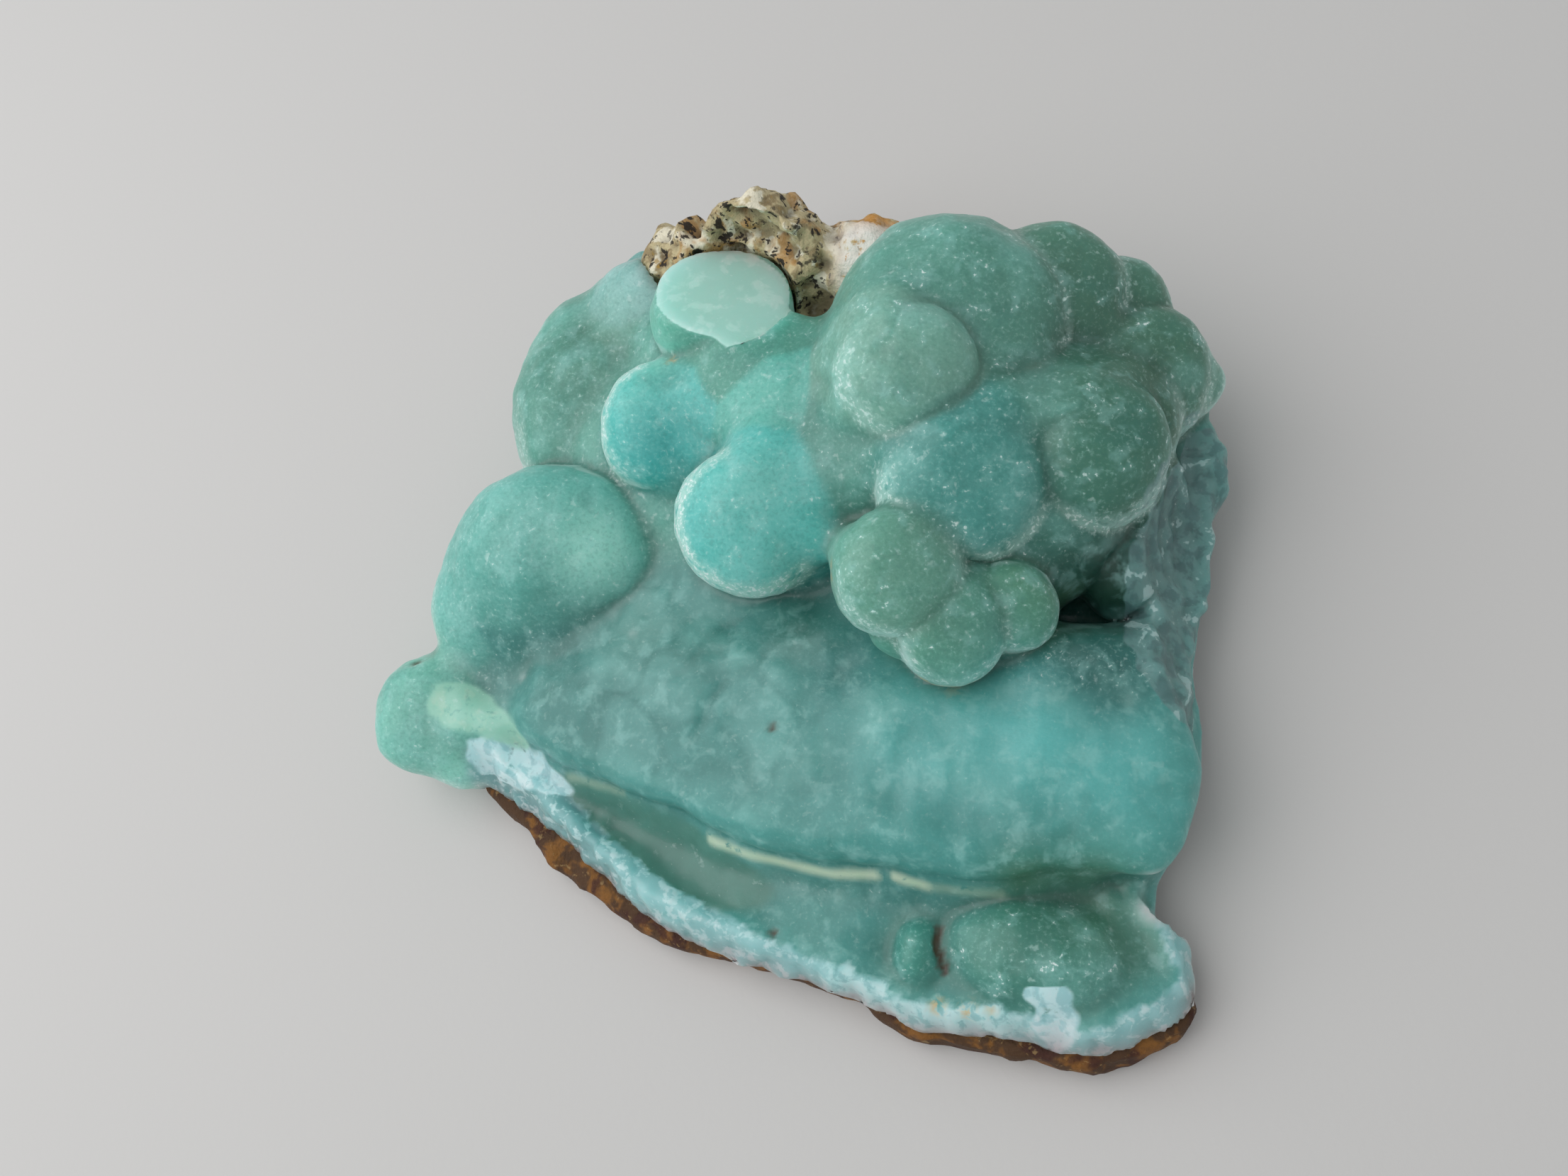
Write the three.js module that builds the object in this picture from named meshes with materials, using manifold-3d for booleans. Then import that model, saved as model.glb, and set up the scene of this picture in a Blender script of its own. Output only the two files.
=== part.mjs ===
// Hemimorphite specimen: a blue-green botryoidal crust on a piece of iron-stained host rock.
// Millimetres, +Z up. The specimen lies on the flat underside of its rock; the origin is the
// middle of its bounding box at the height of that underside. +Y runs to the high back edge.
import * as THREE from 'three';
import { mergeVertices } from 'three/addons/utils/BufferGeometryUtils.js';
import Module from 'manifold-3d';

const wasm = await Module();
wasm.setup();

// ---- driving dimensions ----
const ROCK_TOP = 2.4;        // height of the rock's upper face under the crust
const SEAT_GAP = 0.3;        // the crust stays this far clear of the rock
const CRUST_FOOT = 0.5;      // nothing of the crust hangs lower than this
const CRUST_FLOOR = 1.0;     // the crust's plates start below the rock's face and are cut back to it
const RIM_LEAN = 1.9;        // how far the broken front rim leans in from its foot to its crest
const RIM_REACH = 21;        // from the plates' middle to that rim
const PLATE_MIDDLE = [2, 0]; // the plates' rings close on this point
const MERGE_GAP = 1e-4;      // vertices closer than this are one
const OUTLINE_STEPS = 56;    // points round a plate's outline
const BALL_DETAIL = 3;       // facets of a large lobe
const KNOB_DETAIL = 2;       // facets of a small lobe
const CRAG_DETAIL = 3;       // facets of a lump of rock
const KNOB_SIZE = 4.4;       // a lobe up to this half-width is a small one
const MIDDLE = [0.7, 0.95];  // middle of the finished bounding box in the layout below

// ---- outlines in plan, anticlockwise from the left tip ----
const SHELF_OUTLINE = [
  [-19.5, -11.5], [-16.8, -13.6], [-13, -15], [-8, -17.6], [-3, -20], [3, -21], [8.5, -21.5],
  [13, -22.4], [17, -21.9], [21.6, -21.9], [24.5, -20.4], [26.7, -18], [26, -15.6], [24.2, -13.8],
  [25, -10], [25.8, -6], [25, -1], [24.6, 5], [24.6, 11], [23.5, 16], [20, 19.5], [14, 20.5],
  [7, 21.5], [2, 18], [-3, 17], [-9, 18.5], [-14, 21.5], [-19, 18.5], [-20.2, 12], [-18, 6],
  [-20.5, 1], [-22, -5],
];
const SLAB_OUTLINE = [
  [-17.5, -8.6], [-13.4, -10.8], [-9.9, -12], [-6.5, -12.5], [-2.5, -13.4], [2.2, -14.5],
  [6.4, -14.7], [9.7, -14.5], [12.8, -14.4], [16.2, -14.1], [19.5, -13.1], [22, -12.7],
  [24.2, -12.4], [25.4, -10], [25.8, -7.2], [24.6, -3.2], [25.1, 1.2], [25.6, 4.3], [25.3, 8],
  [25.8, 11], [24.2, 14], [22, 18], [17, 20.5], [12, 22.5], [7.5, 22.6], [4.3, 20.5],
  [0, 17.5], [-5, 18.8], [-10.5, 20.5], [-14, 23.6], [-17, 20.5], [-20.5, 18], [-21, 12.5],
  [-18.8, 8.3], [-20.5, 4.5], [-23, -1], [-22.5, -5.5],
];
const ROCK_OUTLINE = [
  [-18.2, -12.6], [-16.6, -14.3], [-13.8, -15.8], [-11.4, -17.6], [-7.6, -19], [-3, -20.6],
  [3, -20.8], [8.5, -21.4], [11.4, -22.6], [14.5, -22.8], [18.5, -22.6], [21.8, -22.4],
  [24.2, -21.2], [26.7, -18.5], [24.6, -15.6], [22.6, -12.5], [23.6, -8], [23, -2], [23.4, 4],
  [22.4, 10], [22.8, 15], [19.2, 18.8], [13, 19.8], [8, 22.4], [3, 24.2], [-4, 24.6],
  [-10.5, 23.4], [-14, 20.4], [-18, 17.6], [-18.6, 11.5], [-16.4, 6], [-18.6, 0], [-19.4, -6],
];

// ---- lobes: middle x, y, z and half-widths along x, y, z ----
const BODY_LOBES = {
  clusterCore: [13.2, 9, 7, 10, 11.2, 6.4],
  clusterCrown: [9, 11.5, 9, 6.6, 8, 5.2],
  leftCore: [-6, 11, 6, 12, 10, 5.6],
  flankCore: [-14.5, 1.5, 3.5, 7.6, 8.2, 5.4],
  pitWall: [16.9, 3.4, 7.6, 2.8, 2.9, 2.9],
  pitKnob: [20.3, 3.5, 6, 2.7, 2.9, 3],
  pitShoulder: [20.8, 8, 7, 2.8, 3.4, 3.3],
};
const LOBES = {
  crown: [9, 16.7, 11.5, 5.9, 5.8, 5.9],
  crownKnob: [6.2, 20, 12.2, 2.5, 2.4, 2.7],
  upper: [12.3, 15, 13.3, 3.9, 4.2, 4],
  upperBack: [14, 17.6, 11.1, 4.3, 4.3, 4.5],
  cornerBack: [18, 18.1, 9.2, 3.5, 3.4, 3.9],
  cornerRight: [20.4, 15.2, 8.3, 3.5, 3.6, 4.1],
  edgeKnob: [23.2, 15, 7.7, 1.5, 1.6, 1.8],
  right: [17.5, 9.2, 10.8, 4.3, 4.9, 4.9],
  lower: [11.5, 6.2, 11.5, 5.4, 5, 5],
  button: [8.2, 10.4, 16, 4.1, 3.4, 3.6],
  knuckle: [9.3, -0.2, 12.1, 3.3, 3.3, 3.4],
  fingertip: [12, -1.9, 10.8, 3.1, 3, 3.2],
  fingerSide: [14.8, -0.3, 9.9, 2.2, 2.5, 2.7],
  leftUpper: [-7.3, 9.5, 9.4, 4.5, 4.8, 4.8],
  turquoise: [0.2, 3.1, 10.2, 4.6, 4.4, 4.7],
  saddle: [1.8, 8.8, 9.7, 5, 5.2, 5],
  flank: [-18.6, -1.3, 3.4, 4.9, 6, 5.1],
  bigLeft: [-13, 2, 5.8, 6.1, 5.6, 6.4],
  leftTip: [-21.6, -9.3, 3.9, 3.8, 4, 3.5],
  tipFoot: [-18.9, -11.3, 3.2, 2.7, 2.5, 2.4],
  backLeft: [-16.1, 12.1, 5.4, 5, 5.2, 5.5],
  backCorner: [-15.2, 17.9, 5.6, 4.1, 3.9, 4.7],
  backShoulder: [-11.4, 19, 8.2, 3.8, 3.6, 4.6],
};
const BROKEN_LOBE = [-2.8, 14.6, 11.4, 5.4, 5.3, 5.4];
const BREAK_POINT = [-3.3, 16, 15];   // a point on its broken face
const BREAK_NORMAL = [-0.13, 0.35, 0.93];   // and the way that face looks

// swells of the slab and of the shelf: middle x, y, half-widths, height
const SLAB_SWELLS = [
  [17.6, -6.5, 5.5, 4.5, 1.2], [9.5, -7.5, 4, 3.5, 0.6], [3.5, -6, 3, 3.5, 0.5],
  [-3.5, -6.5, 3.2, 3, 0.6], [-9.5, -7.5, 3.2, 3, 0.5], [22.5, -8.5, 3, 4, 0.3],
  [8.5, -13, 7, 1.6, 0.3], [19, -2.2, 1.8, 1.5, 0.8], [21.6, -1, 1.9, 1.5, 0.9],
  [17.4, 0.6, 1.9, 1.7, -3.5],
];
const SHELF_SWELLS = [
  [-16, -11.6, 4.5, 1.6, 1.6], [18.2, -17.4, 5.2, 3, 1.9], [12.4, -18.4, 1.9, 2.2, 0.9],
  [7, -17, 5, 3, 1.0],
];
const RIGHT_SCOOP = [30, 3.5, 9.5, 8.5, 10, 6.5];   // the shell-shaped break on the right edge
const ROCK_LUMPS = {
  heart: [-1.5, 15.4, 1.5, 14, 8.8, 9.2],
  peak: [-2.9, 21, 8.6, 4.8, 3.6, 7.7],
  leftShoulder: [-8.1, 20.7, 6.6, 4.9, 3.5, 6.4],
  rightShoulder: [3.3, 20.8, 7.4, 4.5, 3.3, 6.5],
  skirt: [-2.5, 20.8, 3, 11.5, 3.7, 5],
};

// ---- heights of the plates' upper faces ----
const clamp = THREE.MathUtils.clamp;
const swell = (x, y, [cx, cy, sx, sy, rise]) =>
  rise * Math.exp(-(((x - cx) / sx) ** 2) - ((y - cy) / sy) ** 2);
const swells = (x, y, list) => list.reduce((sum, one) => sum + swell(x, y, one), 0);

// The slab lies nearly level in the middle, sinks to its front, left and right edges and climbs
// under the lobes to the back.
function slabTop(x, y) {
  const level = 8;
  const frontFall = 0.1 * Math.max(-9 - y, 0);
  const leftFall = 0.09 * Math.max(-6 - x, 0) + 0.25 * Math.max(-13 - x, 0);
  const rightFall = 0.055 * Math.max(x - 10, 0);
  const backRise = 0.16 * clamp(y - 2, 0, 12);
  const cornerFall = 0.22 * Math.max(x - 14, 0) * clamp((y - 2) / 4, 0, 1);
  return level - frontFall - leftFall - rightFall + backRise - cornerFall
    + swells(x, y, SLAB_SWELLS);
}

// The shelf runs as a trough below the slab's front edge and swells into two low domes.
const shelfTop = (x, y) => 3.6 + swells(x, y, SHELF_SWELLS);

const rockTop = (x, y) => ROCK_TOP + 0.15 * Math.sin(0.5 * x) * Math.sin(0.6 * y + 1);

// ---- solids ----
// A closed geometry becomes a manifold solid once its seams are merged.
function solid(geometry) {
  geometry.deleteAttribute('normal');
  geometry.deleteAttribute('uv');
  const merged = mergeVertices(geometry, MERGE_GAP);
  return new wasm.Manifold(new wasm.Mesh({
    numProp: 3,
    vertProperties: new Float32Array(merged.attributes.position.array),
    triVerts: new Uint32Array(merged.index.array),
  }));
}

const joined = (solids) => solids.reduce((whole, one) => whole.add(one));

// A plate: rings round an outline, from the middle of its top over its edge to the middle of its
// underside. Each ring is [reach, heightAt]: how far out it lies, as a share of the way from the
// middle to the outline, and its height there.
function plate(outline, rings, grow = 0) {
  const middle = new THREE.Vector3(...PLATE_MIDDLE, 0);
  const curve = new THREE.CatmullRomCurve3(
    outline.map(([x, y]) => new THREE.Vector3(x, y, 0)), true, 'catmullrom', 0.5);
  const round = curve.getSpacedPoints(OUTLINE_STEPS);
  const geometry = new THREE.SphereGeometry(1, OUTLINE_STEPS, rings.length - 1);
  const points = geometry.attributes.position;
  rings.forEach(([reach, heightAt], row) => {
    round.forEach((edge, step) => {
      const out = edge.clone().sub(middle);
      out.setLength((out.length() + grow) * reach).add(middle);
      points.setXYZ(row * (OUTLINE_STEPS + 1) + step, out.x, out.y, heightAt(out.x, out.y));
    });
  });
  return solid(geometry);
}

const detailFor = (width) => (width > KNOB_SIZE ? BALL_DETAIL : KNOB_DETAIL);

// An ellipsoid lobe.
function lobe([x, y, z, rx, ry, rz], detail = detailFor(Math.max(rx, ry))) {
  const ball = new THREE.IcosahedronGeometry(1, detail);
  ball.scale(rx, ry, rz);
  ball.translate(x, y, z);
  return solid(ball);
}

// A craggy ellipsoid of rock, its faces pushed in and out by ridges that cross each other.
function crag([x, y, z, rx, ry, rz], grow = 0) {
  const ball = new THREE.IcosahedronGeometry(1, CRAG_DETAIL);
  const points = ball.attributes.position;
  const p = new THREE.Vector3();
  for (let i = 0; i < points.count; i += 1) {
    p.fromBufferAttribute(points, i);
    const ridge = Math.abs(Math.sin(3.1 * p.x + 2.3 * p.y + x))
      - Math.abs(Math.sin(2.9 * p.y + 3.7 * p.z + y));
    const chip = Math.sin(9 * p.x + 2 * p.z) * Math.sin(8 * p.y + 3 * p.x) * Math.sin(7 * p.z + x);
    p.multiplyScalar(1 + 0.07 * ridge + 0.05 * chip);
    points.setXYZ(i, x + p.x * (rx + grow), y + p.y * (ry + grow), z + p.z * (rz + grow));
  }
  return solid(ball);
}

// A half-space, as a box that fills the side a face looks to.
function beyond(point, normal) {
  const size = 80;
  const box = new THREE.BoxGeometry(size, size, size);
  box.translate(0, 0, size / 2);
  const look = new THREE.Vector3(...normal).normalize();
  box.applyQuaternion(new THREE.Quaternion().setFromUnitVectors(new THREE.Vector3(0, 0, 1), look));
  box.translate(...point);
  return solid(box);
}

// ---- the rock ----
function rock(grow) {
  const face = (x, y) => rockTop(x, y) + grow;
  const foot = () => -grow;
  const slab = plate(ROCK_OUTLINE, [
    ...[0, 0.3, 0.6, 0.85, 0.97].map((reach) => [reach, face]),
    [1, (x, y) => rockTop(x, y) - 0.7 + grow],
    [0.99, () => 0.6],
    [0.96, foot], [0.5, foot], [0, foot],
  ], grow);
  const lumps = Object.values(ROCK_LUMPS).map((size) => crag(size, grow));
  const floor = beyond([0, 0, -grow], [0, 0, -1]);
  return joined([slab, ...lumps]).subtract(floor);
}

// ---- the crust ----
function crust() {
  const floor = () => CRUST_FLOOR;
  const shelf = plate(SHELF_OUTLINE, [
    ...[0, 0.4, 0.62, 0.72, 0.8, 0.87].map((reach) => [reach, shelfTop]),
    [1 - RIM_LEAN / RIM_REACH, (x, y) => shelfTop(x, y) + 0.3],
    [0.97, (x, y) => shelfTop(x, y) - 0.5],
    [1, () => ROCK_TOP + 0.2],
    [0.98, floor], [0.5, floor], [0, floor],
  ]);
  const slab = plate(SLAB_OUTLINE, [
    ...[0, 0.14, 0.28, 0.42, 0.55, 0.67, 0.78, 0.88].map((reach) => [reach, slabTop]),
    [0.94, (x, y) => slabTop(x, y) - 0.25],
    [0.98, (x, y) => slabTop(x, y) - 0.9],
    [1, (x, y) => slabTop(x, y) - 2],
    [0.97, () => 3.4],
    [0.9, floor], [0.5, floor], [0, floor],
  ]);
  const cores = Object.values(BODY_LOBES).map((size) => lobe(size, KNOB_DETAIL));
  const body = joined([shelf, slab, ...cores]).subtract(lobe(RIGHT_SCOOP));
  const broken = lobe(BROKEN_LOBE).subtract(beyond(BREAK_POINT, BREAK_NORMAL));
  const below = beyond([0, 0, CRUST_FOOT], [0, 0, -1]);
  const lobes = Object.values(LOBES).map((size) => lobe(size));
  return joined([body, ...lobes, broken])
    .subtract(below)
    .subtract(rock(SEAT_GAP));
}

// ---- meshes ----
function mesh(name, shape, material) {
  const { vertProperties, triVerts } = shape.getMesh();
  const geometry = new THREE.BufferGeometry();
  geometry.setAttribute('position', new THREE.BufferAttribute(new Float32Array(vertProperties), 3));
  geometry.setIndex(new THREE.BufferAttribute(new Uint32Array(triVerts), 1));
  geometry.computeVertexNormals();
  const part = new THREE.Mesh(geometry, new THREE.MeshStandardMaterial(material));
  part.name = name;
  part.position.set(-MIDDLE[0], -MIDDLE[1], 0);
  return part;
}

const group = new THREE.Group();
group.add(
  mesh('hemimorphite_crust', crust(), { color: 0x62a8a2, roughness: 0.4, metalness: 0 }),
  mesh('limonite_matrix', rock(0), { color: 0x6a4724, roughness: 0.9, metalness: 0 }),
);

export default group;
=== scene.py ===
"""Hemimorphite specimen: a blue-green botryoidal crust on a piece of iron-stained host rock.

Shapes are worked out in millimetres in the specimen's layout, with +X to the right along the front
rim, +Y to the high back edge and +Z up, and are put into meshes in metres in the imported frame.
"""
from itertools import product

import bpy
import numpy as np
from mathutils import Matrix, Vector


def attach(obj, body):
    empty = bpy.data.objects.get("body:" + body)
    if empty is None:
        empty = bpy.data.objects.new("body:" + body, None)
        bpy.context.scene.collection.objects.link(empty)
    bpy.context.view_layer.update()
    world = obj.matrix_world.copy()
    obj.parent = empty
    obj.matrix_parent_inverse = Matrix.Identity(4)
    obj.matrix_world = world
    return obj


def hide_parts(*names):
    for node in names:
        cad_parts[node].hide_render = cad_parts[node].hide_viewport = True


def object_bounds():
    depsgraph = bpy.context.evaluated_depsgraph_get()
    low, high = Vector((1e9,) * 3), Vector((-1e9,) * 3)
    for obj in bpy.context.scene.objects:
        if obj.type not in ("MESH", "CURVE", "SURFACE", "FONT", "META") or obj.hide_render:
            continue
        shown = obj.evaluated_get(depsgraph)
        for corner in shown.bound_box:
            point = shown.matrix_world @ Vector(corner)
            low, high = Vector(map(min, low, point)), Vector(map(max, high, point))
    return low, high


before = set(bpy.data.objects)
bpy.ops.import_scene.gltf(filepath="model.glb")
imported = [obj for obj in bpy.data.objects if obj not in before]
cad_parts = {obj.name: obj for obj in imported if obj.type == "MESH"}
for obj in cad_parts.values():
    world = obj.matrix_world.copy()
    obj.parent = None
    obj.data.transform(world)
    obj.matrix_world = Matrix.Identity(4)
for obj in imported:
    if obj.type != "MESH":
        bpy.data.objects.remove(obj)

CAD_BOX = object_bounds()

bl_info = {
    "name": "Hemimorphite Specimen",
    "version": (1, 0, 0),
    "blender": (4, 5, 0),
    "location": "View3D > Sidebar > Specimen",
    "description": "Builds a botryoidal hemimorphite crust, its host rock and a plain studio",
    "category": "Object",
}

MM = 0.001                # metres in a millimetre
MIDDLE = (0.7, 0.95)      # middle of the specimen's box in the layout
SEED = 11

CAMERA_LENS = 27.99                       # focal length in millimetres on a 36 mm sensor
CAMERA_PLACE = (24.79, -24.46, 71.29)     # millimetres from the specimen's origin
CAMERA_RIGHT = (0.938, 0.211, -0.275)     # the frame's right edge
CAMERA_UP = (-0.0955, 0.92, 0.3802)       # the frame's top edge

# ---- outlines in plan, anticlockwise from the left tip, in millimetres ----
SHELF_OUTLINE = [
    (-19.5, -11.5), (-16.8, -13.6), (-13, -15), (-8, -17.6), (-3, -20), (3, -21), (8.5, -21.5),
    (13, -22.4), (17, -21.9), (21.6, -21.9), (24.5, -20.4), (26.7, -18), (26, -15.6),
    (24.2, -13.8), (25, -10), (25.8, -6), (25, -1), (24.6, 5), (24.6, 11), (23.5, 16),
    (20, 19.5), (14, 20.5), (7, 21.5), (2, 18), (-3, 17), (-9, 18.5), (-14, 21.5), (-19, 18.5),
    (-20.2, 12), (-18, 6), (-20.5, 1), (-22, -5),
]
SLAB_OUTLINE = [
    (-17.5, -8.6), (-13.4, -10.8), (-9.9, -12), (-6.5, -12.5), (-2.5, -13.4), (2.2, -14.5),
    (6.4, -14.7), (9.7, -14.5), (12.8, -14.4), (16.2, -14.1), (19.5, -13.1), (22, -12.7),
    (24.2, -12.4), (25.4, -10), (25.8, -7.2), (24.6, -3.2), (25.1, 1.2), (25.6, 4.3), (25.3, 8),
    (25.8, 11), (24.2, 14), (22, 18), (17, 20.5), (12, 22.5), (7.5, 22.6), (4.3, 20.5),
    (0, 17.5), (-5, 18.8), (-10.5, 20.5), (-14, 23.6), (-17, 20.5), (-20.5, 18), (-21, 12.5),
    (-18.8, 8.3), (-20.5, 4.5), (-23, -1), (-22.5, -5.5),
]
ROCK_OUTLINE = [
    (-18.2, -12.6), (-16.6, -14.3), (-13.8, -15.8), (-11.4, -17.6), (-7.6, -19), (-3, -20.6),
    (3, -20.8), (8.5, -21.4), (11.4, -22.6), (14.5, -22.8), (18.5, -22.6), (21.8, -22.4),
    (24.2, -21.2), (26.7, -18.5), (24.6, -15.6), (22.6, -12.5), (23.6, -8), (23, -2), (23.4, 4),
    (22.4, 10), (22.8, 15), (19.2, 18.8), (13, 19.8), (8, 22.4), (3, 24.2), (-4, 24.6),
    (-10.5, 23.4), (-14, 20.4), (-18, 17.6), (-18.6, 11.5), (-16.4, 6), (-18.6, 0), (-19.4, -6),
]
OUTLINE_MIDDLE = (2, 0)   # every outline is a single-valued radius round this point
CROWN = (0.331, -0.331, 0.883)   # the way the lobes' crowns look, of length 1

# ---- colours of the crust, by growth ----
SLAB_TEAL = "#529A94"
TURQUOISE = "#5DC1B9"
# darker green of the lobes at the back right: partly their own colour, partly painted shade, as
# they face away from the light
SHADED_BACK_GREEN = "#578C78"
PALE_GREY = "#86B5A8"
DOME_GREEN = "#4F9283"
TIP_GREEN = "#7BBBAD"
BACK_GREEN = "#6BAE9E"
SHOULDER_SHEEN = "#A3CDBF"     # painted sheen: lobes pale towards this on their shoulders, for the light their thin edges scatter

# ---- lobes: middle x, y, z, half-widths along x, y, z, rounding of the crease, colour ----
BODY_LOBES = {
    "cluster_core": (12.4, 9.8, 7.9, 9.4, 10.6, 7.2, 0.6, "#2F7364"),
    "cluster_crown": (13, 9, 9.5, 7, 7.6, 5.7, 0.5, "#5C9A8A"),
    "cluster_left": (7.6, 8.2, 11.2, 4.4, 4.9, 4.6, 1.0, "#5FA092"),
    "finger_core": (12, -0.7, 9.6, 4.3, 3.1, 3.7, 0.3, "#569483"),
    "finger_left": (10.3, -1.9, 10.6, 2.5, 2.2, 2.4, 0.8, "#5C9C88"),
    "left_core": (-6, 11, 6, 12, 10, 5.6, 1.5, BACK_GREEN),
    "flank_core": (-14.5, 1.5, 3.5, 7.6, 8.2, 5.4, 1.5, SLAB_TEAL),
    # the pit's lobes are almost black-green: painted shade deep in the pit, over their own darker
    # green
    "pit_wall": (17, 3.3, 8, 2.3, 2.3, 2.6, 0.15, "#2C6152"),
    "pit_knob": (20.2, 3.9, 6, 2.5, 2.6, 3, 0.15, "#143F34"),
    "pit_shoulder": (20.8, 8, 7, 2.8, 3.4, 3.3, 0.2, "#1F4F42"),
    "edge_left": (16.4, -2.4, 5.4, 3, 2.6, 3.1, 1.4, "#4A8C87"),
    "edge_middle": (19.6, -1.9, 5.4, 2.9, 2.5, 3.1, 1.4, "#3F7C78"),
    "edge_right": (22, -1.8, 5.1, 2.6, 2.5, 3, 1.2, "#3F7C78"),
    "chip": (-17.2, -9.9, 4.6, 3.4, 1.9, 2.1, 0.8, TIP_GREEN),
    "dome": (18.2, -17.2, 2.6, 5.2, 3.4, 3.2, 0.4, DOME_GREEN),
    "small_dome": (12.2, -18.3, 2.7, 1.7, 2.1, 2.4, 0.4, DOME_GREEN),
}
LOBES = {
    # upper_back, corner_back, corner_right, mid_right and right are darker: partly their own
    # colour, partly painted shade on the side away from the light
    "upper_back": (14.4, 17.8, 11.2, 4.6, 4.4, 4.6, 0.15, SHADED_BACK_GREEN),
    "corner_back": (18, 18.1, 9.2, 3.5, 3.4, 3.9, 0.15, SHADED_BACK_GREEN),
    "corner_right": (19.7, 15, 8, 4.2, 4.1, 4.5, 0.15, SHADED_BACK_GREEN),
    "edge_knob": (23.2, 15, 7.7, 1.5, 1.6, 1.8, 0.5, PALE_GREY),
    "mid_right": (19, 11.6, 9, 3.6, 3.8, 3.8, 0.4, "#46705C"),
    "crown": (9.3, 15.2, 11.8, 6.9, 6.7, 6.3, 0.15, "#65A192"),
    "crown_knob": (6.9, 19.3, 14.2, 1.5, 1.5, 1.6, 0.6, PALE_GREY),
    "right": (17.9, 8.8, 10.5, 4.4, 4.4, 4.4, 0.15, "#4A8270"),
    "lower": (11.8, 5.9, 11.9, 4.8, 4.6, 4.5, 0.15, "#509A92"),
    "button": (8.5, 10.5, 15.3, 3.9, 3.9, 3.6, 0.15, "#7DAF9F"),
    "knuckle": (9.3, 0, 12.5, 3.5, 3.4, 3.4, 0.12, "#6CA290"),
    "fingertip": (12.3, -2, 10.4, 3.1, 3.1, 3.1, 0.12, "#609682"),
    "finger_side": (15.1, -0.2, 9.8, 2.5, 2.6, 2.6, 0.12, "#5C9074"),
    "broken_side": (-7, 14.6, 8.6, 3.8, 4, 3.7, 1.6, "#66AE9E"),
    "broken_foot": (-1.8, 12.9, 11.0, 4.1, 3.9, 3.9, 0.15, "#5CA392"),
    "saddle": (1.9, 9, 8.6, 6, 6, 5.6, 2.6, "#6CC0B2"),
    "left_upper": (-7.6, 9.2, 9.7, 4.1, 4.2, 4.3, 0.2, TURQUOISE),
    "turquoise": (-0.3, 3.1, 10.4, 4.5, 4.3, 4.6, 0.2, TURQUOISE),
    "flank": (-18.6, -1.3, 3.4, 4.9, 6, 5.1, 2.0, "#72B9AF"),
    "big_left": (-14.2, 2, 5.7, 6.7, 5.4, 6.2, 0.3, "#68B3A8"),
    "left_tip": (-21.7, -9.4, 3.9, 3.8, 4, 3.5, 0.5, TIP_GREEN),
    "tip_foot": (-18.9, -11.3, 3.2, 2.7, 2.5, 2.4, 1.0, "#92D2C2"),
    "back_left": (-14.6, 11.8, 4.6, 6.6, 6.2, 6.1, 0.5, "#62A192"),
    "back_fill": (-16.6, 15.8, 4.8, 4.6, 4.4, 4.9, 2.5, BACK_GREEN),
    "back_corner": (-15.4, 17.9, 5, 4.4, 4, 4.7, 1.2, "#62A192"),
    "back_shoulder": (-11, 18.8, 7.4, 4.4, 3.6, 4.6, 2.6, "#8CC0BA"),
}
# sides where a lobe melts into what is behind it: bearing in degrees, rounding of the crease there
SOFT_SIDES = {
    "button": (165, 3.0), "lower": (110, 3.2), "right": (130, 2.6), "corner_right": (170, 0.9),
    "corner_back": (200, 0.8), "knuckle": (70, 0.8), "broken_foot": (60, 2.2),
    "turquoise": (35, 3.2), "left_upper": (15, 3.2),
    "big_left": (215, 3.8), "left_tip": (20, 1.6),
}
BROKEN_LOBE = (-4.6, 16, 12.5, 4.4, 4.4, 4.3, 0.3, "#5AA18D")
BREAK_POINT = (-4.2, 16.5, 14.1)        # a point on its broken face
BREAK_NORMAL = (0.23, 0.32, 0.92)       # the way that face looks
BREAK_REACH = (-4, 16.8, 14.9, 4.9, 4.9, 2.8)     # and how far the break goes
RIGHT_SCOOP = (30, 3.5, 9.5, 8.5, 10, 6.5)   # the shell-shaped break on the right edge

# swells of the slab and of the shelf: middle x, y, half-widths, height
SLAB_SWELLS = [
    (17.6, -6.5, 5.5, 4.5, 1.0), (9.5, -7.5, 4, 3.5, 0.5), (3.5, -6, 3, 3.5, 0.5),
    (-3.5, -6.5, 3.2, 3, 0.5), (-9.5, -7.5, 3.2, 3, 0.5), (22.5, -8.5, 3, 4, 0.3),
    (8.5, -13, 7, 1.6, 0.3), (18.4, 1.4, 2.9, 1.6, -4.5),
]
SHELF_SWELLS = [(-16, -11.6, 4.5, 1.6, 1.2), (18.2, -17.4, 6, 4, 0.7), (7, -17, 5, 3, 0.9)]
ROCK_LUMPS = {
    "heart": (-1.5, 15.4, 1.5, 14, 8.8, 9.2),
    "peak": (-2.9, 21, 9, 4.8, 3.6, 7.7),
    "left_shoulder": (-8.1, 20.8, 7.4, 5, 3.5, 6.5),
    "right_shoulder": (3.3, 20.8, 7.4, 4.5, 3.3, 6.5),
    "skirt": (-2.5, 20.8, 3, 11.5, 3.7, 5),
}

SHELF_HEIGHT = 3.6        # the shelf's trough above the underside
ROCK_TOP = 2.4            # upper face of the rock under the crust
CRUST_SOLE = 2.3          # underside of the shelf and of the slab
CRUST_FOOT = 0.5          # nothing of the crust hangs lower than this
RIM_LEAN = 0.62           # how far the broken front rim leans in for each millimetre of height
SEAT_GAP = 0.15           # the crust stays this far clear of the rock
CRAG_CLEARANCE = 1.0      # rock this near the crust only loses height, so it can't break through
SPOT_FADE = (0.5, 2.2)    # a spot fades between these shares of its radius
FROST_AND_RIM_LIGHT_TILTS = ((42, 56), (72, 90))    # degrees from the crown where the frost and its painted rim light set in and where they end

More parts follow.
